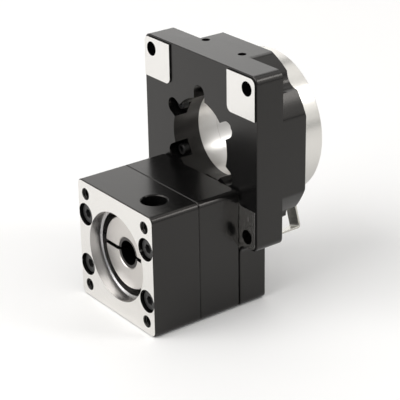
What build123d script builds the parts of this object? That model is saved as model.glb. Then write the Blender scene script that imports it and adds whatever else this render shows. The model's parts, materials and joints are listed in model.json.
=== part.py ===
from build123d import *
import math
import os

# Hollow rotary platform, in millimetres.
# The table turns about Y, which points out of the table; the motor goes on the -Y side.
# Z is up. The origin is on the table's axis, in the plane of the mounting pads.

# The hollow sets the bearing round it, the bearing sets the table, and the table sets the gear and the case
bore_radius = 20.5
race_wall = 9.5
table_wall = 5.7
gear_step = 0.25
gear_rim_gap = 1.0
cover_step = 1.0
case_wall = 2.3

# Housing: square plate, gear case below it, and behind it a round body with four flats
plate_depth = 15.5
body_depth = 29.5
plate_round = 4.0
long_edge_round = 3.0
edge_break = 0.4
pad_height = 0.8
pad_inset = 1.0
pad_side = 19.7
pad_round = 3.0
seat_round = 4.0
case_junction_round = 5.0
body_flat_half = 18.0
mount_inset = 6.5
mount_hole_radius = 3.5
mount_head_radius = 7.1
sensor_hole_radius = 2.0
sensor_hole_depth = 4.0
sensor_hole_places = (-14.3, 12.8)
sensor_hole_y = 16.0

# Pockets round the hollow, for the screws that hold the bearing's inner ring
ring_screw_inset = 3.0
ring_screw_count = 6
ring_screw_angle = 30.0
ring_screw_end_gap = 2.6
pocket_radius = 4.0
pocket_floor_y = 8.0

# Gear train; the module follows from the table's radius and the teeth
pinion_teeth = 15
gear_teeth = 75
pressure_angle = 20.0
profile_shift = 0.3
tooth_play = 0.08
gear_width = 6.0
gear_wall_y = 7.5
gear_side_gap = 0.5
pinion_rim_gap = 2.2
pinion_end_gap = 0.6
gear_screw_count = 8
gear_screw_angle = 22.5
gear_screw_grip = 6.5
gear_screw_tip_gap = 1.5

# Table and crossed-roller bearing
table_length = 31.5
table_thickness = 7.0
table_chamfer = 0.5
table_bore_radius = 20.0
race_depth = 11.0
ring_gap = 0.4
roller_diameter = 4.0
roller_length = 3.8
roller_play = 0.03
roller_count = 30
spacer_radius = 1.5
spacer_gap = 0.18
table_hole_circle = 28.0
table_hole_count = 8
table_hole_depth = 6.0
table_pin_radius = 1.5
table_pin_depth = 5.0
table_pin_angle = 22.5

# Cover ring and seal round the table
cover_depth = 3.5
cover_gap = 0.4
seal_width = 1.5
seal_lip_gap = 0.05
seal_groove = 1.3

# Motor side: 60 mm blocks in line with the pinion
block_side = 60.0
shaft_block_depth = 22.5
flange_depth = 26.0
pilot_wall = 8.3
pilot_depth = 6.5
pilot_step = 0.9
motor_hole_spacing = 47.14
motor_hole_radius = 2.5
motor_hole_depth = 14.0
motor_hole_chamfer = 0.5
access_hole_radius = 6.0
access_hole_chamfer = 0.5
access_hole_shift = 2.0
block_screw_inset = 5.8
block_screw_z = 13.0
block_screw_seat = 5.5
block_screw_grip = 7.0
block_screw_tip_gap = 1.0
pin_radius = 2.0
pin_length = 10.0
pin_inset = 4.0

# Input shaft, its bearings and the clamp
shaft_radius = 7.5
shaft_bore_radius = 6.0
shaft_bore_end_y = -21.0
shoulder_radius = 8.6
bearing_outer_radius = 14.0
bearing_width = 7.0
bearing_ball_radius = 2.0
bearing_ball_count = 8
bearing_groove_play = 0.03
bearing_shoulder = 1.25
bearing_lip_depth = 2.0
bearing_lip_radius = 12.4
clip_thickness = 1.0
clip_bite = 0.7
clip_width = 1.8
clip_opening = 6.0
rear_bearing_end_y = -1.8
seal_start_y = 1.0
seal_depth = 4.0
collar_gap = 3.05
collar_depth = 12.5
collar_slit = 1.4
hinge_slot_reach = 3.2
shaft_setback = 0.5
slit_depth = 15.0
clamp_screw_inset = 0.6
clamp_screw_seat = 4.0
clamp_screw_length = 12.0

# Sensor flag, let in flush with the table's face
flag_angle = -71.0
flag_thickness = 1.0
flag_width = 7.3
flag_side_gap = 0.1
flag_overhang = 18.6
flag_tab_length = 14.0
flag_bend_radius = 1.0
flag_screw_inset = 3.2
flag_screw_gap = 5.6
flag_screw_margin = 3.4
flag_screw_length = 6.0
flag_screw_socket = 1.5

# Fasteners: shank radius, head radius, head height, hexagon across flats
m2_5 = (1.25, 2.25, 2.5, 2.0)
m3 = (1.5, 2.75, 3.0, 2.5)
m4 = (2.0, 3.5, 4.0, 3.0)
m6_low = (3.0, 5.0, 4.0, 4.0)
thread_play = 0.02
hole_play = 0.15
head_play = 0.5
m6_hole_play = 0.3

# Places that follow from the sizes above
race_radius = bore_radius + race_wall
table_radius = race_radius + table_wall
gear_module = (table_radius + gear_step) / (gear_teeth / 2 - 1.25 - profile_shift)
centre_distance = gear_module * (gear_teeth + pinion_teeth) / 2
chamber_radius = gear_module * (gear_teeth / 2 + 1 - profile_shift) + gear_rim_gap
cover_radius = chamber_radius + cover_step
plate_half = cover_radius + case_wall
plate_side = 2 * plate_half
body_radius = math.hypot(plate_half, body_flat_half)
pad_inner = plate_half - pad_inset - pad_side
mount_half = plate_half - mount_inset
pinion_bore_radius = gear_module * (pinion_teeth / 2 + 1 + profile_shift) + pinion_rim_gap
gear_y = gear_wall_y + gear_side_gap
gear_end_y = gear_y + gear_width
pinion_bore_end_y = gear_end_y + pinion_end_gap
race_square = roller_diameter + 2 * roller_play
race_reach = race_square / math.sqrt(2)
race_y = plate_depth + race_depth
ring_outer_radius = race_radius - ring_gap
table_inner_radius = race_radius + ring_gap
table_front_y = gear_end_y + table_length
table_back_y = table_front_y - table_thickness
ring_front_y = table_back_y - ring_gap
ring_screw_circle = bore_radius + ring_screw_inset
ring_screw_length = ring_front_y - ring_screw_end_gap - pocket_floor_y
gear_screw_circle = (table_inner_radius + table_radius) / 2
cover_y = body_depth - cover_depth
block_half = block_side / 2
seam_y = -shaft_block_depth
flange_y = seam_y - flange_depth
step_y = flange_y + pilot_depth
pilot_radius = block_half - pilot_wall
flange_bore_radius = pilot_radius - pilot_step
block_screw_x = block_half - block_screw_inset
block_screw_hole_end_y = block_screw_grip + block_screw_tip_gap
block_screw_length = block_screw_grip - flange_y - block_screw_seat
pin_x = block_half - pin_inset
collar_radius = flange_bore_radius - collar_gap
clamp_screw_offset = (shaft_radius + collar_radius) / 2 - clamp_screw_inset
flag_screw_places = (table_radius - flag_screw_inset, table_radius - flag_screw_inset - flag_screw_gap)
flag_start = min(flag_screw_places) - flag_screw_margin
flag_reach = table_radius + flag_overhang
flag_seat_y = table_front_y - flag_thickness
bearing_race_radius = (shaft_radius + bearing_outer_radius) / 2
rear_bearing_y = rear_bearing_end_y - bearing_width
front_bearing_y = seam_y + bearing_lip_depth
front_bearing_end_y = front_bearing_y + bearing_width
collar_y = step_y
collar_end_y = collar_y + collar_depth
collar_mid_y = collar_y + collar_depth / 2
screw_seat_y = flange_y + block_screw_seat
pinion_place = Pos(0, 0, -centre_distance)
front = Plane.XZ


def prism(shape, start_y, end_y):
    """Extrude a sketch drawn in X and Z between two places along Y."""
    return extrude(front.offset(-end_y) * shape, end_y - start_y)


def rod(x, z, radius, start_y, end_y):
    return prism(Pos(x, z) * Circle(radius), start_y, end_y)


def turned(points):
    """Turn a closed outline of (radius, y) points about the Y axis."""
    return revolve(make_face(Polyline(*points, close=True)), Axis.Y)


def tube(inner, outer, start_y, end_y):
    return turned([(inner, start_y), (outer, start_y), (outer, end_y), (inner, end_y)])


def on_circle(radius, count, first=0.0):
    """Give the (x, z) places of equal steps round the table's axis."""
    angles = [math.radians(first + 360 * k / count) for k in range(count)]
    return [(radius * math.cos(a), radius * math.sin(a)) for a in angles]


def corners(x, z):
    return [(sx * x, sz * z) for sx in (-1, 1) for sz in (-1, 1)]


def near(vertices, places):
    """Pick the sketch corners that lie at the given places."""
    return [v for v in vertices for x, y in places if math.hypot(v.X - x, v.Y - y) < 0.01]


def cap_screw(size, length, seat_y, x=0.0, z=0.0):
    """Make a socket screw along +Y whose head seats at seat_y."""
    shank, head, height, flats = size
    body = rod(0, 0, shank - thread_play, seat_y, seat_y + length)
    cap = chamfer(rod(0, 0, head, seat_y - height, seat_y).edges().group_by(Axis.Y)[0], 0.1 * head)
    socket = prism(RegularPolygon(flats / 2, 6, major_radius=False), seat_y - height, seat_y - height / 2)
    return Pos(x, 0, z) * (body + cap - socket)


def group(items):
    return Compound(children=list(items))


# Housing
def housing_outline():
    plate = Rectangle(plate_side, plate_side)
    case_height = centre_distance + block_half
    outline = plate + Pos(0, -case_height / 2) * Rectangle(block_side, case_height)
    feet = [(-block_half, -case_height), (block_half, -case_height)]
    junctions = [(-block_half, -plate_half), (block_half, -plate_half)]
    outline = fillet(near(outline.vertices(), corners(plate_half, plate_half)), plate_round)
    outline = fillet(near(outline.vertices(), feet), long_edge_round)
    return fillet(near(outline.vertices(), junctions), case_junction_round)


def pad_outline():
    """Machined faces: two upper pads, and the block's seat with the two lower pads."""
    middle = (pad_inner + plate_half) / 2
    side = plate_half - pad_inner
    seat_half = block_half - pad_inset
    seat_top = block_half - centre_distance - pad_inset
    seat_height = centre_distance + block_half + seat_top
    pads = Pos(0, seat_top - seat_height / 2) * Rectangle(2 * seat_half, seat_height)
    low = plate_half + case_junction_round
    pads += Pos(0, -(pad_inner + low) / 2) * Rectangle(plate_side, low - pad_inner)
    for x in (-middle, middle):
        pads += Pos(x, middle) * Rectangle(side, side)
    pads = fillet(near(pads.vertices(), [(-pad_inner, pad_inner), (pad_inner, pad_inner)]), pad_round)
    pads = fillet(near(pads.vertices(), [(-seat_half, -pad_inner), (seat_half, -pad_inner)]), seat_round)
    return pads & offset(housing_outline(), -pad_inset)


def body_outline():
    """Round body with a flat on each side and a round bite at each mounting hole."""
    outline = Circle(body_radius) & Rectangle(plate_side, plate_side)
    for x, z in corners(mount_half, mount_half):
        outline -= Pos(x, z) * Circle(mount_head_radius)
    return outline


def make_housing():
    plate = prism(housing_outline(), pad_height, plate_depth)
    plate = chamfer(plate.faces().sort_by(Axis.Y)[0].outer_wire().edges(), edge_break)
    shape = plate + prism(pad_outline(), 0, pad_height + edge_break)
    body = prism(body_outline(), plate_depth, body_depth)
    body = chamfer(body.faces().sort_by(Axis.Y)[-1].outer_wire().edges(), edge_break)
    shape += body
    shape -= rod(0, 0, bore_radius, 0, plate_depth)
    shape -= tube(ring_outer_radius, chamber_radius, gear_wall_y, plate_depth)
    shape -= rod(0, 0, chamber_radius, plate_depth, cover_y)
    shape -= rod(0, 0, cover_radius, cover_y, body_depth)
    shape -= rod(0, -centre_distance, pinion_bore_radius, 0, pinion_bore_end_y)
    slot = Pos(ring_screw_circle / 2, 0) * Rectangle(ring_screw_circle, 2 * pocket_radius)
    pocket = prism(slot + Pos(ring_screw_circle, 0) * Circle(pocket_radius), 0, pocket_floor_y)
    pocket += rod(ring_screw_circle, 0, m3[0] + hole_play, 0, plate_depth)
    for k in range(ring_screw_count):
        shape -= Rot(0, -ring_screw_angle - 360 * k / ring_screw_count, 0) * pocket
    for x, z in corners(mount_half, mount_half):
        shape -= rod(x, z, mount_hole_radius, 0, plate_depth)
    for x, z in corners(block_screw_x, block_screw_z):
        shape -= rod(x, z - centre_distance, m6_low[0], 0, block_screw_hole_end_y)
    for x in (-pin_x, pin_x):
        shape -= rod(x, -centre_distance, pin_radius, 0, pin_length / 2)
    for x in sensor_hole_places:
        hole = Cylinder(sensor_hole_radius, sensor_hole_depth)
        shape -= Pos(x, sensor_hole_y, plate_half - sensor_hole_depth / 2) * hole
    return shape


# Blocks on the motor side
def block(start_y, end_y):
    shape = prism(RectangleRounded(block_side, block_side, long_edge_round), start_y, end_y)
    ends = shape.faces().filter_by(Axis.Y)
    return pinion_place * chamfer([e for f in ends for e in f.edges()], edge_break)


def make_shaft_block():
    shape = block(seam_y, 0)
    clip_y = rear_bearing_end_y
    groove = tube(bearing_lip_radius, bearing_outer_radius + clip_bite, clip_y, clip_y + clip_thickness)
    shape -= pinion_place * rod(0, 0, bearing_lip_radius, seam_y, 0)
    shape -= pinion_place * rod(0, 0, bearing_outer_radius, front_bearing_y, 0)
    shape -= pinion_place * groove
    for x, z in corners(block_screw_x, block_screw_z):
        shape -= rod(x, z - centre_distance, m6_low[0] + m6_hole_play, seam_y, 0)
    for x in (-pin_x, pin_x):
        shape -= rod(x, -centre_distance, pin_radius, seam_y, seam_y + pin_length / 2)
        shape -= rod(x, -centre_distance, pin_radius, -pin_length / 2, 0)
    return shape


def make_motor_flange():
    shape = block(flange_y, seam_y)
    shape -= pinion_place * rod(0, 0, pilot_radius, flange_y, step_y)
    shape -= pinion_place * rod(0, 0, flange_bore_radius, step_y, seam_y)
    for x, z in corners(motor_hole_spacing / 2, motor_hole_spacing / 2):
        hole = rod(0, 0, motor_hole_radius, flange_y, flange_y + motor_hole_depth)
        mouth_y = flange_y + motor_hole_chamfer
        mouth = turned([(0, flange_y), (motor_hole_radius + motor_hole_chamfer, flange_y),
                        (motor_hole_radius, mouth_y), (0, mouth_y)])
        shape -= Pos(x, 0, z - centre_distance) * (hole + mouth)
    for x, z in corners(block_screw_x, block_screw_z):
        shape -= rod(x, z - centre_distance, m6_low[1] + head_play, flange_y, screw_seat_y)
        shape -= rod(x, z - centre_distance, m6_low[0] + m6_hole_play, screw_seat_y, seam_y)
    for x in (-pin_x, pin_x):
        shape -= rod(x, -centre_distance, pin_radius, seam_y - pin_length / 2, seam_y)
    return shape - access_hole()


def access_hole():
    """Round hole in the top face, over the clamp screw at half a turn."""
    top = block_half - centre_distance
    hole = Pos(0, 0, top - block_half / 2) * Cylinder(access_hole_radius, block_half)
    mouth = Pos(0, 0, top - access_hole_chamfer / 2) * Cone(
        access_hole_radius, access_hole_radius + access_hole_chamfer, access_hole_chamfer)
    return Pos(clamp_screw_offset + access_hole_shift, collar_mid_y, 0) * (hole + mouth)


def make_block_screws():
    return group(cap_screw(m6_low, block_screw_length, screw_seat_y, x, z - centre_distance)
                 for x, z in corners(block_screw_x, block_screw_z))


def make_locating_pins():
    pins = []
    for x in (-pin_x, pin_x):
        for middle_y in (seam_y, 0):
            start_y = middle_y - pin_length / 2
            pin = rod(x, -centre_distance, pin_radius - thread_play, start_y, start_y + pin_length)
            pins.append(chamfer(pin.edges(), edge_break))
    return group(pins)


# Gears
def flank_point(base, radius, half_angle):
    """Point of an involute flank at a radius; half_angle is the tooth's half width at the base."""
    roll = math.acos(min(1.0, base / radius))
    angle = half_angle - (math.tan(roll) - roll)
    return radius, angle


def tooth_edges(teeth, shift, middle):
    """One tooth's edges about the angle middle, up to the next tooth's root."""
    pitch = gear_module * teeth / 2
    alpha = math.radians(pressure_angle)
    base = pitch * math.cos(alpha)
    tip = pitch + gear_module * (1 + shift)
    root = pitch - gear_module * (1.25 - shift)
    width = gear_module * (math.pi / 2 + 2 * shift * math.tan(alpha)) - tooth_play
    half_angle = width / (2 * pitch) + math.tan(alpha) - alpha
    start = max(base, root)
    low = flank_point(base, start, half_angle)
    mid = flank_point(base, (start + tip) / 2, half_angle)
    high = flank_point(base, tip, half_angle)

    def place(polar, side, turn=0.0):
        radius, angle = polar
        bearing = middle + side * angle + turn
        return (radius * math.cos(bearing), radius * math.sin(bearing))

    step = 2 * math.pi / teeth
    edges = [ThreePointArc(place(low, -1), place(mid, -1), place(high, -1)),
             Line(place(high, -1), place(high, 1)),
             ThreePointArc(place(high, 1), place(mid, 1), place(low, 1))]
    foot = (root, low[1])
    if root < start:
        edges.append(Line(place(low, 1), place(foot, 1)))
        edges.append(Line(place(foot, 1), place(foot, -1, step)))
        edges.append(Line(place(foot, -1, step), place(low, -1, step)))
    else:
        edges.append(Line(place(low, 1), place(low, -1, step)))
    return edges


def gear_face(teeth, shift, first):
    """Toothed outline with a tooth at the angle first, in degrees."""
    edges = []
    for k in range(teeth):
        edges += tooth_edges(teeth, shift, math.radians(first + 360 * k / teeth))
    return make_face(Wire(edges))


def make_ring_gear():
    shape = prism(gear_face(gear_teeth, -profile_shift, -90), gear_y, gear_end_y)
    shape -= rod(0, 0, table_inner_radius, gear_y, gear_end_y)
    for x, z in on_circle(gear_screw_circle, gear_screw_count, gear_screw_angle):
        shape -= rod(x, z, m2_5[0] + hole_play, gear_y, gear_end_y)
        shape -= rod(x, z, m2_5[1] + hole_play, gear_y, gear_y + m2_5[2])
    return shape


def make_gear_screws():
    seat_y = gear_y + m2_5[2]
    length = gear_end_y + gear_screw_grip - seat_y
    return group(cap_screw(m2_5, length, seat_y, x, z)
                 for x, z in on_circle(gear_screw_circle, gear_screw_count, gear_screw_angle))


# Table and its bearing
def make_turntable():
    shape = turned([(table_inner_radius, gear_end_y), (table_radius, gear_end_y),
                    (table_radius, table_front_y - table_chamfer),
                    (table_radius - table_chamfer, table_front_y),
                    (table_bore_radius + table_chamfer, table_front_y),
                    (table_bore_radius, table_front_y - table_chamfer),
                    (table_bore_radius, table_back_y), (table_inner_radius, table_back_y),
                    (table_inner_radius, race_y + race_reach - ring_gap),
                    (race_radius + race_reach, race_y),
                    (table_inner_radius, race_y - race_reach + ring_gap)])
    for x, z in on_circle(gear_screw_circle, gear_screw_count, gear_screw_angle):
        shape -= rod(x, z, m2_5[0], gear_end_y, gear_end_y + gear_screw_grip + gear_screw_tip_gap)
    for x, z in on_circle(table_hole_circle, table_hole_count):
        shape -= rod(x, z, m4[0], table_front_y - table_hole_depth, table_front_y)
    for x, z in on_circle(table_hole_circle, 2, table_pin_angle):
        shape -= rod(x, z, table_pin_radius, table_front_y - table_pin_depth, table_front_y)
    slot_width = flag_width + 2 * flag_side_gap
    slot_start = flag_start - flag_side_gap
    slot = Pos(slot_start + table_radius / 2, 0) * Rectangle(table_radius, slot_width)
    seat = prism(slot, flag_seat_y, table_front_y)
    for radius in flag_screw_places:
        seat += rod(radius, 0, m2_5[0], table_front_y - table_hole_depth, table_front_y)
    return shape - Rot(0, -flag_angle, 0) * seat


def make_inner_ring_rear():
    shape = turned([(bore_radius, plate_depth), (ring_outer_radius, plate_depth),
                    (ring_outer_radius, race_y - race_reach + ring_gap),
                    (race_radius - race_reach, race_y), (bore_radius, race_y)])
    for x, z in on_circle(ring_screw_circle, ring_screw_count, ring_screw_angle):
        shape -= rod(x, z, m3[0] + hole_play, plate_depth, race_y)
    return shape


def make_inner_ring_front():
    shape = turned([(bore_radius, race_y), (race_radius - race_reach, race_y),
                    (ring_outer_radius, race_y + race_reach - ring_gap),
                    (ring_outer_radius, ring_front_y), (bore_radius, ring_front_y)])
    for x, z in on_circle(ring_screw_circle, ring_screw_count, ring_screw_angle):
        shape -= rod(x, z, m3[0], race_y, ring_front_y)
    return shape


def make_ring_screws():
    return group(cap_screw(m3, ring_screw_length, pocket_floor_y, x, z)
                 for x, z in on_circle(ring_screw_circle, ring_screw_count, ring_screw_angle))


def make_crossed_rollers():
    """Rollers round the race, each one leaning the other way from the one before."""
    rollers = []
    for k in range(roller_count):
        lean = 45 if k % 2 else -45
        roller = Rot(0, 0, lean) * Cylinder(roller_diameter / 2, roller_length, rotation=(90, 0, 0))
        rollers.append(Rot(0, 360 * k / roller_count, 0) * Pos(race_radius, race_y, 0) * roller)
    return group(rollers)


def make_roller_spacers():
    """Round separators between the rollers."""
    step = 2 * math.pi * race_radius / roller_count
    width = step - roller_diameter - 2 * spacer_gap
    spacers = []
    for k in range(roller_count):
        turn = 360 * (k + 0.5) / roller_count
        spacers.append(Rot(0, turn, 0) * Pos(race_radius, race_y, 0) * Cylinder(spacer_radius, width))
    return group(spacers)


def make_cover_ring():
    shape = tube(table_radius + cover_gap, cover_radius, cover_y, body_depth)
    middle = (cover_y + body_depth) / 2
    groove = table_radius + cover_gap + seal_groove
    return shape - tube(table_radius, groove, middle - seal_width / 2, middle + seal_width / 2)


def make_table_seal():
    middle = (cover_y + body_depth) / 2
    outer = table_radius + cover_gap + seal_groove
    return tube(table_radius + seal_lip_gap, outer, middle - seal_width / 2, middle + seal_width / 2)


# Input shaft
def make_pinion_shaft():
    shaft = turned([(0, collar_y + shaft_setback), (shaft_radius, collar_y + shaft_setback),
                    (shaft_radius, rear_bearing_end_y), (shoulder_radius, rear_bearing_end_y),
                    (shoulder_radius, gear_y - gear_side_gap), (shaft_radius - 1, gear_y), (0, gear_y)])
    shaft -= rod(0, 0, shaft_bore_radius, collar_y, shaft_bore_end_y)
    slit = Pos(0, collar_y + slit_depth / 2, 0) * Box(4 * shaft_radius, slit_depth, collar_slit)
    clip_y = front_bearing_y - clip_thickness
    groove = tube(shaft_radius - clip_bite, shaft_radius, clip_y, front_bearing_y)
    teeth = prism(gear_face(pinion_teeth, profile_shift, 90 + 180 / pinion_teeth), gear_y, gear_end_y)
    return pinion_place * (shaft - slit - groove + teeth)


def make_clamp_collar():
    shape = tube(shaft_radius, collar_radius, collar_y, collar_end_y)
    shape = chamfer(shape.edges().filter_by(GeomType.CIRCLE), edge_break)
    slit_length = collar_radius - shaft_radius / 2
    middle = (collar_y + collar_end_y) / 2
    slit = Box(slit_length, 2 * collar_depth, collar_slit)
    shape -= Pos(-shaft_radius / 2 - slit_length / 2, middle, 0) * slit
    hinge = hinge_slot_reach + shaft_radius / 2
    shape -= Pos(shaft_radius / 2 + hinge / 2, middle, 0) * Box(hinge, 2 * collar_depth, collar_slit)
    axis_place = Pos(-clamp_screw_offset, middle, 0)
    shape -= axis_place * Pos(0, 0, -clamp_screw_seat / 2) * Cylinder(m4[0] + hole_play, clamp_screw_seat)
    shape -= axis_place * Pos(0, 0, collar_radius / 2) * Cylinder(m4[0], collar_radius)
    head_room = collar_radius - clamp_screw_seat
    head_hole = Cylinder(m4[1] + hole_play, head_room)
    shape -= axis_place * Pos(0, 0, -clamp_screw_seat - head_room / 2) * head_hole
    return pinion_place * shape


def make_clamp_screw():
    screw = Rot(90, 0, 0) * cap_screw(m4, clamp_screw_length, 0)
    return pinion_place * Pos(-clamp_screw_offset, collar_mid_y, -clamp_screw_seat) * screw


def bearing_ring(inner, outer, groove_at, start_y):
    """Ring of a ball bearing with a round groove for the balls."""
    ring = tube(inner, outer, start_y, start_y + bearing_width)
    groove_radius = bearing_ball_radius + bearing_groove_play
    profile = Pos(bearing_race_radius, start_y + bearing_width / 2) * Circle(groove_radius)
    return pinion_place * (ring - revolve(profile, Axis.Y)) if groove_at else pinion_place * ring


def make_bearing_outer(start_y):
    inner = bearing_race_radius + bearing_shoulder
    return bearing_ring(inner, bearing_outer_radius, True, start_y)


def make_bearing_inner(start_y):
    outer = bearing_race_radius - bearing_shoulder
    return bearing_ring(shaft_radius, outer, True, start_y)


def make_bearing_balls(start_y):
    middle = start_y + bearing_width / 2
    return group(pinion_place * Pos(x, middle, z) * Sphere(bearing_ball_radius)
                 for x, z in on_circle(bearing_race_radius, bearing_ball_count))


def make_inner_spacer():
    outer = bearing_race_radius - bearing_shoulder
    return pinion_place * tube(shaft_radius, outer, front_bearing_end_y, rear_bearing_y)


def make_outer_spacer():
    inner = bearing_race_radius + bearing_shoulder
    return pinion_place * tube(inner, bearing_outer_radius, front_bearing_end_y, rear_bearing_y)


def open_ring(inner, outer, start_y):
    """Retaining ring with a gap at the top."""
    ring = tube(inner, outer, start_y, start_y + clip_thickness)
    gap = Pos(0, start_y + clip_thickness / 2, outer) * Box(clip_opening, 2 * clip_thickness, outer)
    return pinion_place * (ring - gap)


def make_bearing_clip():
    outer = bearing_outer_radius + clip_bite
    return open_ring(outer - clip_width, outer, rear_bearing_end_y)


def make_shaft_clip():
    inner = shaft_radius - clip_bite
    return open_ring(inner, inner + clip_width, front_bearing_y - clip_thickness)


def make_shaft_seal():
    lip = tube(shoulder_radius + seal_lip_gap, pinion_bore_radius, seal_start_y, seal_start_y + seal_depth)
    relief = tube(shoulder_radius, shoulder_radius + 1, seal_start_y + 1, seal_start_y + seal_depth - 1)
    return pinion_place * (lip - relief)


# Sensor flag
def countersink(shank, head, face_y):
    """Cone of a countersunk screw whose head ends flush with face_y, wide end towards +Y."""
    depth = head - shank
    return turned([(0, face_y - depth), (shank, face_y - depth), (head, face_y), (0, face_y)])


def make_sensor_flag():
    tab_end = table_front_y - flag_tab_length
    bend = flag_reach - flag_thickness
    outline = make_face(Polyline((flag_start, flag_seat_y), (bend, flag_seat_y), (bend, tab_end),
                                 (flag_reach, tab_end), (flag_reach, table_front_y),
                                 (flag_start, table_front_y), close=True))
    outline = fillet(near(outline.vertices(), [(bend, flag_seat_y)]), flag_bend_radius)
    outer_bend = flag_bend_radius + flag_thickness
    outline = fillet(near(outline.vertices(), [(flag_reach, table_front_y)]), outer_bend)
    shape = extrude(outline, flag_width / 2, both=True)
    for radius in flag_screw_places:
        shape -= rod(radius, 0, m2_5[0], flag_seat_y, table_front_y)
        shape -= Pos(radius, 0, 0) * countersink(m2_5[0], m2_5[1], table_front_y)
    return Rot(0, -flag_angle, 0) * shape


def make_flag_screws():
    screws = []
    for radius in flag_screw_places:
        shank = rod(0, 0, m2_5[0] - thread_play, table_front_y - flag_screw_length, flag_seat_y)
        head = countersink(m2_5[0] - thread_play, m2_5[1] - thread_play, table_front_y)
        socket = RegularPolygon(flag_screw_socket / 2, 6, major_radius=False)
        screw = shank + head - prism(socket, table_front_y - flag_thickness, table_front_y)
        screws.append(Rot(0, -flag_angle, 0) * Pos(radius, 0, 0) * screw)
    return group(screws)


parts = {
    "housing": make_housing(),
    "shaft_block": make_shaft_block(),
    "motor_flange": make_motor_flange(),
    "block_screws": make_block_screws(),
    "locating_pins": make_locating_pins(),
    "inner_ring_rear": make_inner_ring_rear(),
    "inner_ring_front": make_inner_ring_front(),
    "ring_screws": make_ring_screws(),
    "crossed_rollers": make_crossed_rollers(),
    "roller_spacers": make_roller_spacers(),
    "turntable": make_turntable(),
    "ring_gear": make_ring_gear(),
    "gear_screws": make_gear_screws(),
    "cover_ring": make_cover_ring(),
    "table_seal": make_table_seal(),
    "pinion_shaft": make_pinion_shaft(),
    "clamp_collar": make_clamp_collar(),
    "clamp_screw": make_clamp_screw(),
    "front_bearing_outer": make_bearing_outer(front_bearing_y),
    "front_bearing_inner": make_bearing_inner(front_bearing_y),
    "front_bearing_balls": make_bearing_balls(front_bearing_y),
    "rear_bearing_outer": make_bearing_outer(rear_bearing_y),
    "rear_bearing_inner": make_bearing_inner(rear_bearing_y),
    "rear_bearing_balls": make_bearing_balls(rear_bearing_y),
    "inner_spacer": make_inner_spacer(),
    "outer_spacer": make_outer_spacer(),
    "bearing_clip": make_bearing_clip(),
    "shaft_clip": make_shaft_clip(),
    "shaft_seal": make_shaft_seal(),
    "sensor_flag": make_sensor_flag(),
    "flag_screws": make_flag_screws(),
}

os.makedirs("parts", exist_ok=True)
for name, shape in parts.items():
    export_step(shape, f"parts/{name}.step")
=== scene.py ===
import bpy
import json
import math
from mathutils import Matrix, Vector

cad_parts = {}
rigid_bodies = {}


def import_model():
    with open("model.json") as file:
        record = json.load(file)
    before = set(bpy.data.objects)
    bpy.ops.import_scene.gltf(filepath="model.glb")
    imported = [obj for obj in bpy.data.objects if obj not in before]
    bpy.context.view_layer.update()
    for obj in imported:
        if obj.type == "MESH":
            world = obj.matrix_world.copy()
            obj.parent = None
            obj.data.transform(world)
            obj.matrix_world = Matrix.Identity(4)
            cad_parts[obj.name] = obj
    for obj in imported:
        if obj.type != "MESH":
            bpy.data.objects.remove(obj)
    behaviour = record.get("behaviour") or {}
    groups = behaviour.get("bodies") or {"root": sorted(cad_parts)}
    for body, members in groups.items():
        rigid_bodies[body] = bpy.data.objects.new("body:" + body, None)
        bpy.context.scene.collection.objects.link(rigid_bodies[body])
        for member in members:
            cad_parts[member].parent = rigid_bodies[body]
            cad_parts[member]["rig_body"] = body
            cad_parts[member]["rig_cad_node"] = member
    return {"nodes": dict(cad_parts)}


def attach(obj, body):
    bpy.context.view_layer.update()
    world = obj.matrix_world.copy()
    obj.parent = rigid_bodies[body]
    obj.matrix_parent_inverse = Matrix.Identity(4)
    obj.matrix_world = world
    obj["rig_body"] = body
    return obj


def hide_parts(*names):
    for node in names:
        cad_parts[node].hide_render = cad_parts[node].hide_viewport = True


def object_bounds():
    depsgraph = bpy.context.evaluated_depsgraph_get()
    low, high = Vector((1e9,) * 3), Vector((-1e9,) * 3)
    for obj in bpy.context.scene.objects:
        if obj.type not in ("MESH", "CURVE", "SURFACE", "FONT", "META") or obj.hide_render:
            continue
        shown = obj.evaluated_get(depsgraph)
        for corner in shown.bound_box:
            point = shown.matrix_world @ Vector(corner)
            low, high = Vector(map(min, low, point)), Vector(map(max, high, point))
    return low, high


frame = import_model()
cadBox = [list(corner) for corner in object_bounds()]
print("frame loaded:", len(frame["nodes"]), "nodes")

mm = 0.001
motorAxisHeight = -45 * mm
flangeFront, tableFront, housingTop = cadBox[0][1], cadBox[1][1], cadBox[1][2]
bumpDepth = 0.02 * mm
foldAngle = math.radians(32)  # sharper folds are edges, softer ones are curves


def addNode(tree, kind, **values):
    node = tree.nodes.new(kind)
    for name, value in values.items():
        setattr(node, name, value)
    return node


def wire(tree, source, target):
    tree.links.new(source, target)


def calc(tree, operation, first, second=None):
    # numbers are typed into the Math node, sockets are linked to it
    node = addNode(tree, "ShaderNodeMath", operation=operation)
    for slot, value in enumerate((first, second)):
        if isinstance(value, (int, float)):
            node.inputs[slot].default_value = value
        elif value is not None:
            wire(tree, value, node.inputs[slot])
    return node.outputs[0]


def blendNumber(tree, factor, low, high):
    node = addNode(tree, "ShaderNodeMix", data_type="FLOAT")
    for slot, value in ((0, factor), (2, low), (3, high)):
        if isinstance(value, (int, float)):
            node.inputs[slot].default_value = value
        else:
            wire(tree, value, node.inputs[slot])
    return node.outputs[0]


def blendColour(tree, factor, low, high):
    node = addNode(tree, "ShaderNodeMix", data_type="RGBA")
    for slot, value in ((0, factor), (6, low), (7, high)):
        if isinstance(value, (int, float)):
            node.inputs[slot].default_value = value
        elif isinstance(value, tuple):
            node.inputs[slot].default_value = (*value, 1)
        else:
            wire(tree, value, node.inputs[slot])
    return node.outputs[2]


def startMaterial(name):
    material = bpy.data.materials.new(name)
    material.use_nodes = True
    tree = material.node_tree
    shader = tree.nodes["Principled BSDF"]
    place = addNode(tree, "ShaderNodeTexCoord").outputs["Object"]
    return material, tree, shader, place


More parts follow.
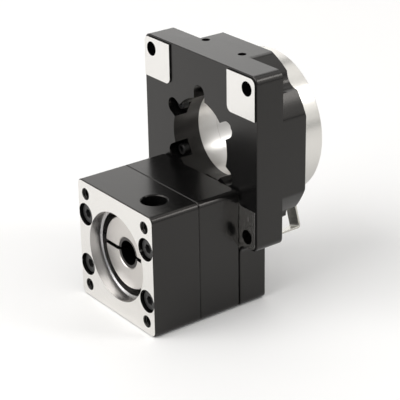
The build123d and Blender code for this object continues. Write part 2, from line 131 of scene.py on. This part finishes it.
def grain(tree, vector, scale, detail=3.0):
    noise = addNode(tree, "ShaderNodeTexNoise")
    noise.inputs["Scale"].default_value = scale
    noise.inputs["Detail"].default_value = detail
    wire(tree, vector, noise.inputs["Vector"])
    return noise.outputs["Fac"]


def bumpFrom(tree, shader, height, strength):
    bump = addNode(tree, "ShaderNodeBump")
    bump.inputs["Strength"].default_value = strength
    bump.inputs["Distance"].default_value = bumpDepth
    wire(tree, height, bump.inputs["Height"])
    wire(tree, bump.outputs[0], shader.inputs["Normal"])


def roundCoords(tree, place, axisHeight):
    # distance from a Y axis at that height, and the place along it
    shift = addNode(tree, "ShaderNodeMapping")
    shift.inputs["Location"].default_value = (0, 0, -axisHeight)
    wire(tree, place, shift.inputs["Vector"])
    split = addNode(tree, "ShaderNodeSeparateXYZ")
    wire(tree, shift.outputs[0], split.inputs[0])
    flat = addNode(tree, "ShaderNodeCombineXYZ")
    wire(tree, split.outputs["X"], flat.inputs["X"])
    wire(tree, split.outputs["Z"], flat.inputs["Z"])
    length = addNode(tree, "ShaderNodeVectorMath", operation="LENGTH")
    wire(tree, flat.outputs[0], length.inputs[0])
    return length.outputs["Value"], split.outputs["Y"]


def turnedPath(tree, place, axisHeight):
    # a pattern on this path runs in rings round the axis
    radius, along = roundCoords(tree, place, axisHeight)
    path = addNode(tree, "ShaderNodeCombineXYZ")
    wire(tree, radius, path.inputs["X"])
    wire(tree, along, path.inputs["Y"])
    return path.outputs[0]


blackFinish = {
    "colour": (0.0026, 0.0026, 0.0028),
    "worn": (0.0044, 0.0043, 0.0042),
    "roughness": (0.20, 0.27),
    "speckleScale": 2600,
    "cloudScale": 60,
    "cloudDetail": 5,
    "bump": 0.10,
    "gloss": 0.415,
    "glossTint": (1, 0.965, 0.925),
}

brightFinish = {
    "colour": (0.795, 0.785, 0.76),
    "shade": (0.755, 0.745, 0.73),
    # painted shade: the bore's wall is coloured darker than the machined face
    "bore": (0.66, 0.66, 0.665),
    "boreRadius": 21.75 * mm,
    "roughness": (0.26, 0.28),
    "lineScale": 7000,
    "lineStretch": 0.02,
}

# where the black finish is cut away: in front of a plane across Y,
# or inside a radius round the motor's axis
brightPlaces = {
    "padFront": 0.02 * mm,
    "flangeFace": flangeFront + 0.03 * mm,
    "pilotRadius": 22.0 * mm,
    "shaftBlockRadius": 14.8 * mm,
}


def anodisedMaterial(name, brightMask, boreHeight=None):
    # black anodised aluminium, machined bright where brightMask says so; the tool lines there run up the
    # part, or round the bore whose axis is at boreHeight, and the bore's wall is painted darker as shade
    material, tree, shader, place = startMaterial(name)
    shader.inputs["Specular IOR Level"].default_value = blackFinish["gloss"]
    shader.inputs["Specular Tint"].default_value = (*blackFinish["glossTint"], 1)
    speckle = grain(tree, place, blackFinish["speckleScale"])
    cloud = grain(tree, place, blackFinish["cloudScale"], blackFinish["cloudDetail"])
    mask = brightMask(tree, place)
    black = blendColour(tree, cloud, blackFinish["colour"], blackFinish["worn"])
    if boreHeight is None:
        stretched = addNode(tree, "ShaderNodeMapping")
        stretched.inputs["Scale"].default_value = (1, 1, brightFinish["lineStretch"])
        wire(tree, place, stretched.inputs["Vector"])
        path = stretched.outputs[0]
    else:
        path = turnedPath(tree, place, boreHeight)
    lines = grain(tree, path, brightFinish["lineScale"])
    bright = blendColour(tree, lines, brightFinish["shade"], brightFinish["colour"])
    # painted shade: inside the bore radius the bright finish is swapped for the darker bore colour
    if boreHeight is not None:
        radius = roundCoords(tree, place, boreHeight)[0]
        inShadedBore = calc(tree, "LESS_THAN", radius, brightFinish["boreRadius"])
        bright = blendColour(tree, inShadedBore, bright, brightFinish["bore"])
    wire(tree, blendColour(tree, mask, black, bright), shader.inputs["Base Color"])
    wire(tree, mask, shader.inputs["Metallic"])
    blackRough = blendNumber(tree, speckle, *blackFinish["roughness"])
    brightRough = blendNumber(tree, lines, *brightFinish["roughness"])
    wire(tree, blendNumber(tree, mask, blackRough, brightRough), shader.inputs["Roughness"])
    bumpFrom(tree, shader, speckle, blackFinish["bump"])
    return material


def padMask(tree, place):
    # the machined pads are the housing's foremost faces
    split = addNode(tree, "ShaderNodeSeparateXYZ")
    wire(tree, place, split.inputs[0])
    return calc(tree, "LESS_THAN", split.outputs["Y"], brightPlaces["padFront"])


def flangeMask(tree, place):
    # the front face and the pilot bore are bright, and the holes in the face stay black
    radius, along = roundCoords(tree, place, motorAxisHeight)
    face = calc(tree, "LESS_THAN", along, brightPlaces["flangeFace"])
    bore = calc(tree, "LESS_THAN", radius, brightPlaces["pilotRadius"])
    return calc(tree, "MAXIMUM", face, bore)


def shaftBlockMask(tree, place):
    radius = roundCoords(tree, place, motorAxisHeight)[0]
    return calc(tree, "LESS_THAN", radius, brightPlaces["shaftBlockRadius"])


turning = {"lineScale": 1800, "cloudScale": 45, "detail": 4, "cloudShare": 0.35}
# painted shade: the clamp's slit walls and the chamfers along them are coloured near black, out to this
# half width and up to this end
clampSlitShade = {"half": 1.01 * mm, "end": 11.01 * mm, "colour": (0.012, 0.011, 0.010)}


def turnedMaterial(name, colour, shade, roughness, axisHeight=0.0, bump=0.12, slitShade=None):
    # metal turned on a lathe: fine lines run round the axis, and painted shade colours a sawn slit and
    # its chamfered edges near black
    material, tree, shader, place = startMaterial(name)
    lines = grain(tree, turnedPath(tree, place, axisHeight), turning["lineScale"], turning["detail"])
    cloud = grain(tree, place, turning["cloudScale"], turning["detail"])
    mixed = blendNumber(tree, turning["cloudShare"], lines, cloud)
    tone = blendColour(tree, mixed, shade, colour)
    # painted shade in the slit: inside the slit band the colour is swapped for the near-black slit
    # colour
    if slitShade:
        split = addNode(tree, "ShaderNodeSeparateXYZ")
        wire(tree, place, split.inputs[0])
        rise = calc(tree, "ABSOLUTE", calc(tree, "SUBTRACT", split.outputs["Z"], axisHeight))
        inSlitShade = calc(tree, "LESS_THAN", rise, slitShade["half"])
        beforeEnd = calc(tree, "LESS_THAN", split.outputs["X"], slitShade["end"])
        tone = blendColour(tree, calc(tree, "MULTIPLY", inSlitShade, beforeEnd), tone, slitShade["colour"])
    wire(tree, tone, shader.inputs["Base Color"])
    wire(tree, blendNumber(tree, lines, *roughness), shader.inputs["Roughness"])
    shader.inputs["Metallic"].default_value = 1.0
    bumpFrom(tree, shader, lines, bump)
    return material


def plainFinish(name, colour, shade, roughness, scale=700, detail=5, metallic=1.0, bump=0.08):
    # metal, rubber or plastic with a fine mottle and no direction
    material, tree, shader, place = startMaterial(name)
    mottle = grain(tree, place, scale, detail)
    wire(tree, blendColour(tree, mottle, shade, colour), shader.inputs["Base Color"])
    wire(tree, blendNumber(tree, mottle, *roughness), shader.inputs["Roughness"])
    shader.inputs["Metallic"].default_value = metallic
    bumpFrom(tree, shader, mottle, bump)
    return material


# each call gives a colour, a second shade that it is mottled with, and the lowest and highest roughness
finishes = {
    "housing": anodisedMaterial("housingBlack", padMask),
    "shaftBlock": anodisedMaterial("shaftBlockBlack", shaftBlockMask, motorAxisHeight),
    "flange": anodisedMaterial("flangeBlack", flangeMask, motorAxisHeight),
    "table": turnedMaterial(
        "tableTurnedSteel", (0.705, 0.69, 0.655), (0.645, 0.63, 0.60), (0.23, 0.29)),
    "ring": turnedMaterial(
        "ringGroundSteel", (0.60, 0.59, 0.575), (0.56, 0.55, 0.535), (0.30, 0.35), bump=0.05),
    "clamp": turnedMaterial(
        "clampTurned", (0.64, 0.615, 0.585), (0.58, 0.555, 0.53), (0.32, 0.40),
        axisHeight=motorAxisHeight, slitShade=clampSlitShade),
    # the shaft is coloured near black
    "shaft": turnedMaterial(
        "shaftDarkTurned", (0.085, 0.080, 0.076), (0.055, 0.052, 0.050), (0.26, 0.36),
        axisHeight=motorAxisHeight),
    "gear": plainFinish(
        "gearSteel", (0.55, 0.545, 0.53), (0.42, 0.41, 0.40), (0.25, 0.4)),
    "bearing": plainFinish(
        "bearingSteel", (0.78, 0.78, 0.78), (0.68, 0.68, 0.69), (0.12, 0.2), scale=300),
    "screw": plainFinish(
        "screwBlackOxide", (0.050, 0.049, 0.048), (0.030, 0.030, 0.031), (0.3, 0.45),
        scale=1500, metallic=0.6),
    # painted shade: a darker copy of the black-oxide screw finish, for the screws deep in the housing's
    # pockets
    "screwInShade": plainFinish(
        "screwShadedBlack", (0.020, 0.0195, 0.019), (0.012, 0.012, 0.0125), (0.3, 0.42),
        scale=1500, metallic=0.5),
    "sheet": plainFinish(
        "flagSheetNickel", (0.76, 0.745, 0.68), (0.73, 0.715, 0.655), (0.17, 0.21),
        scale=260, bump=0.03),
    "seal": plainFinish(
        "sealRubber", (0.022, 0.022, 0.022), (0.014, 0.014, 0.014), (0.55, 0.7),
        scale=1200, metallic=0.0),
    "spacer": plainFinish(
        "spacerNylon", (0.72, 0.69, 0.62), (0.64, 0.61, 0.55), (0.4, 0.55),
        scale=900, metallic=0.0),
}
print("finishes made:", len(finishes))


def selectOnly(piece):
    bpy.ops.object.select_all(action="DESELECT")
    piece.select_set(True)
    bpy.context.view_layer.objects.active = piece


softening = {"weld": 0.002 * mm, "flatAngle": math.radians(0.4), "bevelSteps": 2, "faceWeight": 100}


def softenedPiece(nodeName, pieceName, finish, edge):
    # a visible part is a copy of the frame's own shape, with merged faces,
    # softened edges and smooth curves
    source = frame["nodes"][nodeName]
    piece = source.copy()
    piece.data = source.data.copy()
    piece.parent = None
    piece.name = pieceName
    piece.data.name = pieceName
    del piece["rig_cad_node"]
    bpy.context.scene.collection.objects.link(piece)
    selectOnly(piece)
    bpy.ops.object.mode_set(mode="EDIT")
    bpy.ops.mesh.select_all(action="SELECT")
    bpy.ops.mesh.remove_doubles(threshold=softening["weld"])
    bpy.ops.mesh.dissolve_limited(angle_limit=softening["flatAngle"])
    bpy.ops.mesh.normals_make_consistent(inside=False)
    bpy.ops.object.mode_set(mode="OBJECT")
    if edge:
        bevel = piece.modifiers.new("edgeBreak", "BEVEL")
        bevel.limit_method = "ANGLE"
        bevel.angle_limit = foldAngle
        bevel.width = edge * mm
        bevel.segments = softening["bevelSteps"]
        bevel.use_clamp_overlap = True
        bpy.ops.object.modifier_apply(modifier=bevel.name)
    bpy.ops.object.shade_smooth_by_angle(angle=foldAngle)
    # flat faces stay flat up to their edges
    even = piece.modifiers.new("evenShading", "WEIGHTED_NORMAL")
    even.keep_sharp = True
    even.mode = "FACE_AREA"
    even.weight = softening["faceWeight"]
    bpy.ops.object.modifier_apply(modifier=even.name)
    piece.data.materials.clear()
    piece.data.materials.append(finishes[finish])
    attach(piece, source["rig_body"])
    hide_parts(nodeName)


# node: name of the dressed piece, its finish, and the width of its softened edges in mm
visiblePieces = {
    "housing": ("housingCasting", "housing", 0.09),
    "shaft_block": ("shaftBlockBody", "shaftBlock", 0.45),
    "motor_flange": ("motorFlangeBody", "flange", 0.2),
    "turntable": ("turntableDrum", "table", 0.12),
    "inner_ring_rear": ("innerRaceRear", "ring", 0.1),
    "inner_ring_front": ("innerRaceFront", "ring", 0.1),
    "cover_ring": ("coverRingPlate", "ring", 0.1),
    "table_seal": ("tableLipSeal", "seal", 0.0),
    "clamp_collar": ("clampCollarBody", "clamp", 0.3),
    "pinion_shaft": ("inputShaftBody", "shaft", 0.0),
    "block_screws": ("blockScrewSet", "screw", 0.1),
    # the ring screws take the screw finish painted darker for the shade of their pockets
    "ring_screws": ("ringScrewSet", "screwInShade", 0.1),
    "sensor_flag": ("sensorFlagSheet", "sheet", 0.06),
    "flag_screws": ("flagScrewSet", "screw", 0.1),
}
for nodeName, (pieceName, finish, edge) in visiblePieces.items():
    softenedPiece(nodeName, pieceName, finish, edge)
print("visible parts dressed:", len(visiblePieces))

motorHoleOffset = 23.57 * mm  # half the side of the square that the four motor holes stand on
motorHoleOffsets = (-motorHoleOffset, motorHoleOffset)
sensorHoles = {"across": (-14.3 * mm, 12.8 * mm), "along": 16 * mm}
tableHoles = {"circle": 28 * mm, "turns": [step * math.pi / 4 for step in range(8)]}

# bore, pitch and reach are in mm: bore is the hole's radius, reach is where the thread
# starts and ends below the mouth, and turn points the hole inwards from its mouth
tappedHoles = {
    "motorHoleThread": {
        "node": "motor_flange", "finish": "flange", "bore": 2.5, "pitch": 0.8, "reach": (0.55, 13.0),
        "mouths": [(x, flangeFront, motorAxisHeight + z)
                   for x in motorHoleOffsets for z in motorHoleOffsets],
        "turn": math.pi / 2,
    },
    "sensorHoleThread": {
        "node": "housing", "finish": "housing", "bore": 2.0, "pitch": 0.7, "reach": (0.45, 3.6),
        "mouths": [(x, sensorHoles["along"], housingTop) for x in sensorHoles["across"]],
        "turn": 0.0,
    },
    "tableHoleThread": {
        "node": "turntable", "finish": "table", "bore": 2.0, "pitch": 0.7, "reach": (0.45, 5.6),
        "mouths": [(tableHoles["circle"] * math.cos(turn), tableFront,
                    tableHoles["circle"] * math.sin(turn)) for turn in tableHoles["turns"]],
        "turn": -math.pi / 2,
    },
}
threadShape = {"ringRadius": 0.5, "crestCut": 0.12, "stepsPerTurn": 24}  # the first two in pitches


def windThread(name, bore, pitch, start, end):
    # a three-sided ring with its crest cut flat is wound up the hole, whose mouth is at the origin
    bpy.ops.object.select_all(action="DESELECT")
    bpy.ops.mesh.primitive_circle_add(vertices=3, radius=pitch * threadShape["ringRadius"] * mm,
                                      fill_type="NGON", location=(bore * mm, 0, -end * mm),
                                      rotation=(math.pi / 2, -math.pi / 2, 0))
    piece = bpy.context.object
    piece.name = name
    bpy.ops.object.transform_apply(location=True, rotation=True, scale=False)
    bpy.ops.object.mode_set(mode="EDIT")
    bpy.ops.mesh.select_mode(type="VERT")
    bpy.ops.mesh.select_all(action="DESELECT")
    bpy.ops.object.mode_set(mode="OBJECT")
    crest = min(piece.data.vertices, key=lambda vertex: vertex.co.x)
    crest.select = True
    bpy.ops.object.mode_set(mode="EDIT")
    bpy.ops.mesh.bevel(offset=pitch * threadShape["crestCut"] * mm, affect="VERTICES")
    bpy.ops.mesh.select_all(action="SELECT")
    bpy.ops.mesh.delete(type="ONLY_FACE")
    bpy.ops.object.mode_set(mode="OBJECT")
    winding = piece.modifiers.new("winding", "SCREW")
    winding.axis = "Z"
    winding.screw_offset = pitch * mm
    winding.iterations = int((end - start) / pitch)
    winding.steps = winding.render_steps = threadShape["stepsPerTurn"]
    bpy.ops.object.modifier_apply(modifier=winding.name)
    bpy.ops.object.mode_set(mode="EDIT")
    bpy.ops.mesh.select_all(action="SELECT")
    bpy.ops.mesh.fill_holes(sides=0)
    bpy.ops.mesh.normals_make_consistent(inside=False)
    bpy.ops.object.mode_set(mode="OBJECT")
    bpy.ops.object.shade_smooth_by_angle(angle=foldAngle)
    return piece


threadCount = 0
for threadName, hole in tappedHoles.items():
    pattern = windThread(threadName, hole["bore"], hole["pitch"], *hole["reach"])
    pattern.data.materials.append(finishes[hole["finish"]])
    for number, mouth in enumerate(hole["mouths"], start=1):
        thread = pattern
        if number < len(hole["mouths"]):
            thread = pattern.copy()
            thread.data = pattern.data.copy()
            bpy.context.scene.collection.objects.link(thread)
        thread.name = thread.data.name = f"{threadName}{number}"
        selectOnly(thread)
        thread.location = mouth
        thread.rotation_euler = (hole["turn"], 0, 0)
        bpy.ops.object.transform_apply(location=True, rotation=True, scale=False)
        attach(thread, frame["nodes"][hole["node"]]["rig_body"])
        threadCount += 1
print("threads wound:", threadCount)

# parts inside, seen only with the object taken apart
hiddenFinishes = {
    "locating_pins": "bearing", "crossed_rollers": "bearing", "roller_spacers": "spacer",
    "ring_gear": "gear", "gear_screws": "screw", "clamp_screw": "screw",
    "front_bearing_outer": "bearing", "front_bearing_inner": "bearing", "front_bearing_balls": "bearing",
    "rear_bearing_outer": "bearing", "rear_bearing_inner": "bearing", "rear_bearing_balls": "bearing",
    "inner_spacer": "ring", "outer_spacer": "ring", "bearing_clip": "screw", "shaft_clip": "screw",
    "shaft_seal": "seal",
}
for nodeName, finish in hiddenFinishes.items():
    mesh = frame["nodes"][nodeName].data
    mesh.materials.clear()
    mesh.materials.append(finishes[finish])
print("inner parts finished:", len(hiddenFinishes))


floorSettings = {"size": 6.0, "gap": 0.02 * mm, "colour": (0.98, 0.98, 0.98), "roughness": 0.7}
floorHeight = cadBox[0][2] - floorSettings["gap"]
bpy.ops.object.select_all(action="DESELECT")
bpy.ops.mesh.primitive_plane_add(size=floorSettings["size"], location=(0, 0, floorHeight))
floor = bpy.context.object
floor.name = "studioFloor"
floorMaterial = bpy.data.materials.new("floorPaper")
floorMaterial.use_nodes = True
floorShader = floorMaterial.node_tree.nodes["Principled BSDF"]
floorShader.inputs["Base Color"].default_value = (*floorSettings["colour"], 1)
floorShader.inputs["Roughness"].default_value = floorSettings["roughness"]
floor.data.materials.append(floorMaterial)

roomSettings = {"colour": (1, 0.995, 0.985), "strength": 0.45}
world = bpy.data.worlds.new("studioRoom")
bpy.context.scene.world = world
world.use_nodes = True
roomLight = world.node_tree.nodes["Background"]
roomLight.inputs["Color"].default_value = (*roomSettings["colour"], 1)
roomLight.inputs["Strength"].default_value = roomSettings["strength"]

lampColour = (1, 0.99, 0.975)
lampDistance = 1.6
# name, direction from the object, width, brightness
softLights = [
    ("backLeftSoftbox", (-0.731, 0.544, 0.411), 1.2, 1.0),
    ("overheadSoftbox", (-0.03, 0.55, 0.84), 0.6, 0.88),
    ("highRightSoftbox", (0.28, 0.55, 0.79), 0.4, 0.8),
    ("rimKeyLight", (0.55, 0.55, 0.63), 0.42, 7.2),
    ("backRightSoftbox", (0.72, 0.55, 0.43), 0.35, 1.3),
    ("lowRightSoftbox", (0.80, 0.55, 0.22), 0.4, 0.8),
    ("leftSoftbox", (-0.73, -0.41, 0.545), 0.5, 1.0),
    ("frontFill", (-0.15, -0.80, 0.6), 1.6, 2.9),
]
for name, direction, width, brightness in softLights:
    aim = Vector(direction).normalized()
    bpy.ops.object.light_add(type="AREA", location=aim * lampDistance)
    lamp = bpy.context.object
    lamp.name = name
    lamp.data.shape = "SQUARE"
    lamp.data.size = width
    lamp.data.energy = math.pi * width ** 2 * brightness
    lamp.data.color = lampColour
    lamp.rotation_euler = aim.to_track_quat("Z", "Y").to_euler()
    lamp.visible_camera = False

# lengths in metres, angles in radians; the lens is a focal length as a share of the picture's width
cameraSettings = {
    "place": (0.5163083, -0.3842552, 0.2608084),
    "heading": 0.9305671,
    "tilt": -0.4243793,
    "roll": -0.0173588,
    "sensor": 36,
    "lens": 1490.7195 / 400,
    "clip": (0.01, 20),
}


def placeCamera(settings):
    heading, tilt, roll = settings["heading"], settings["tilt"], settings["roll"]
    level = math.cos(tilt)
    forward = Vector((-math.sin(heading) * level, math.cos(heading) * level, math.sin(tilt)))
    right = Vector((math.cos(heading), math.sin(heading), 0))
    up = right.cross(forward)
    turnedRight = math.cos(roll) * right + math.sin(roll) * up
    turnedUp = -math.sin(roll) * right + math.cos(roll) * up
    bpy.ops.object.camera_add()
    camera = bpy.context.object
    camera.name = "photoCamera"
    camera.data.sensor_width = settings["sensor"]
    camera.data.lens = settings["lens"] * settings["sensor"]
    camera.data.clip_start, camera.data.clip_end = settings["clip"]
    turn = Matrix((turnedRight, turnedUp, -forward)).transposed().to_4x4()
    camera.matrix_world = Matrix.Translation(Vector(settings["place"])) @ turn
    bpy.context.scene.camera = camera


placeCamera(cameraSettings)
bpy.context.scene.view_settings.view_transform = "Standard"
print("studio ready")
